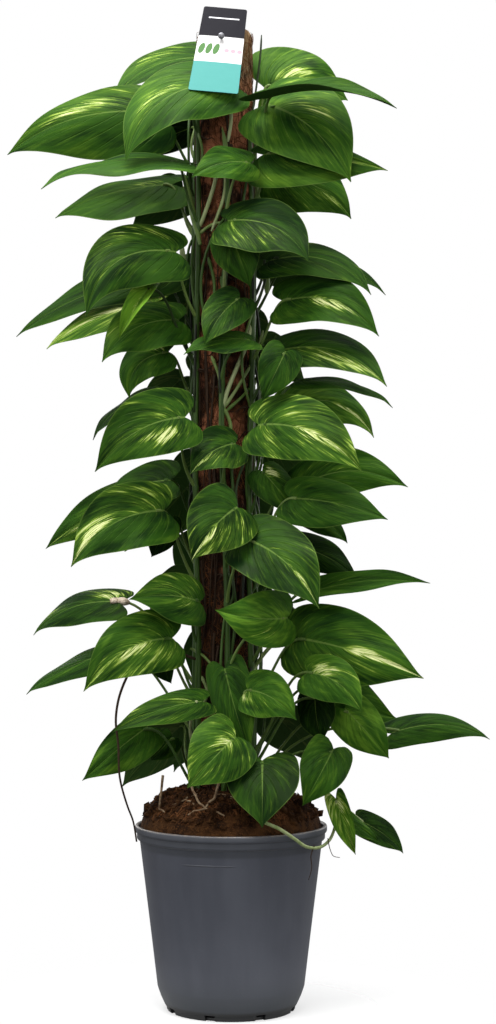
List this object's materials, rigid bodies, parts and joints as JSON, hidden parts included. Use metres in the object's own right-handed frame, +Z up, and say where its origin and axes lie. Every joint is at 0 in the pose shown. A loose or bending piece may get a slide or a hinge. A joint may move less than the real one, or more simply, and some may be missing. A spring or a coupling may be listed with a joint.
{
  "type": "potted scindapsus",
  "caption": "Climbing aroid with heart-shaped marbled leaves on a coir pole, growing in a tapered plastic nursery pot with a hanging label.",
  "frame": {"origin": "middle of the pot's underside, on the surface that it stands on", "axes": "+Z up along the pole; -Y is the front, which the label and the fullest leaves face"},
  "size_m": [0.6186, 0.3007, 1.249],
  "materials": {
    "pot": "moulded slate-grey plastic",
    "soil": "fibrous reddish-brown potting mix",
    "pole_core": "plain grey tube",
    "coir": "matted brown coconut fibre",
    "label_pin": "bright steel",
    "label": "printed plastic card in dark, white and turquoise bands",
    "foliage": "glossy green leaves with pale marbling"
  },
  "bodies": {
    "root": {"pot": "pot", "soil": "soil", "pole_core": "pole_core", "pole_coir": "coir", "label_pin": "label_pin", "plant_label": "label", "vine_front_left": "foliage", "vine_front": "foliage", "vine_front_right": "foliage", "vine_back_left": "foliage", "vine_back": "foliage", "vine_back_right": "foliage", "vine_runner": "foliage"}
  },
  "joints": []
}
